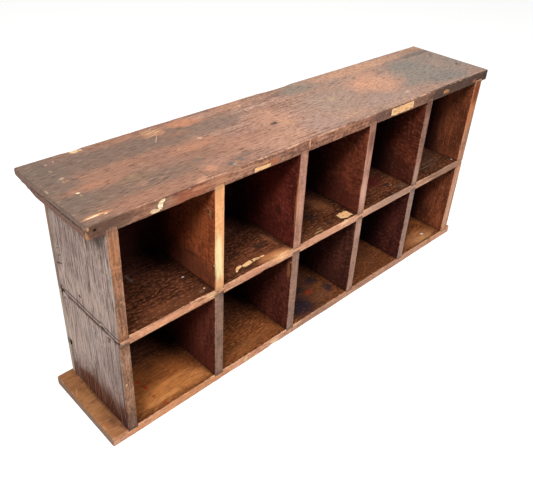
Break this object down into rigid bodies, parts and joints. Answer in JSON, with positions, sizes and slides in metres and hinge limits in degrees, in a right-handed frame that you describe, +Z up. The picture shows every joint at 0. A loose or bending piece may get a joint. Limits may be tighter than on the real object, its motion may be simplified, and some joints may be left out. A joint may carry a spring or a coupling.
{
  "type": "pigeonhole letter organizer",
  "caption": "Long low wooden pigeonhole rack: open-fronted boxes in two rows between a base, a housed middle shelf and an overhanging top, for sorting letters on a desk.",
  "frame": {"origin": "middle of the whole object's bounding box on the plane it stands on", "axes": "+X along the length, to the right seen from the open front; +Y from the open front to the back; +Z up"},
  "size_m": [0.662, 0.1338, 0.286],
  "materials": {
    "top_wood": "worn dark stain over long grain, greyed in patches, rubbed through on the edges",
    "side_wood": "dry greyed stain over coarse upright grain, bare at the front edges",
    "divider_wood": "dark reddish stain, thin and dull, paler worn front edges",
    "shelf_wood": "dark reddish stain with a worn tan front edge",
    "base_wood": "golden brown, thin worn finish, stained and scratched",
    "back_wood": "dark inside, dry bare wood outside",
    "nail_iron": "old wire nails, dark and rusty, rubbed bright on some heads",
    "label_paper": "yellowed torn paper, matt"
  },
  "bodies": {
    "root": {"top_board": "top_wood", "base_board": "base_wood", "middle_shelf": "shelf_wood", "left_side_upper": "side_wood", "left_side_lower": "side_wood", "right_side_upper": "side_wood", "right_side_lower": "side_wood", "upper_back_board": "back_wood", "lower_back_board": "back_wood", "upper_divider_1": "divider_wood", "upper_divider_2": "divider_wood", "upper_divider_3": "divider_wood", "upper_divider_4": "divider_wood", "lower_divider_1": "divider_wood", "lower_divider_2": "divider_wood", "lower_divider_3": "divider_wood", "lower_divider_4": "divider_wood", "top_nails_left": "nail_iron", "top_nails_middle": "nail_iron", "top_nails_right": "nail_iron", "base_nails": "nail_iron", "upper_back_brads": "nail_iron", "lower_back_brads": "nail_iron", "edge_label_scraps": "label_paper", "shelf_label_scraps": "label_paper"}
  },
  "joints": []
}
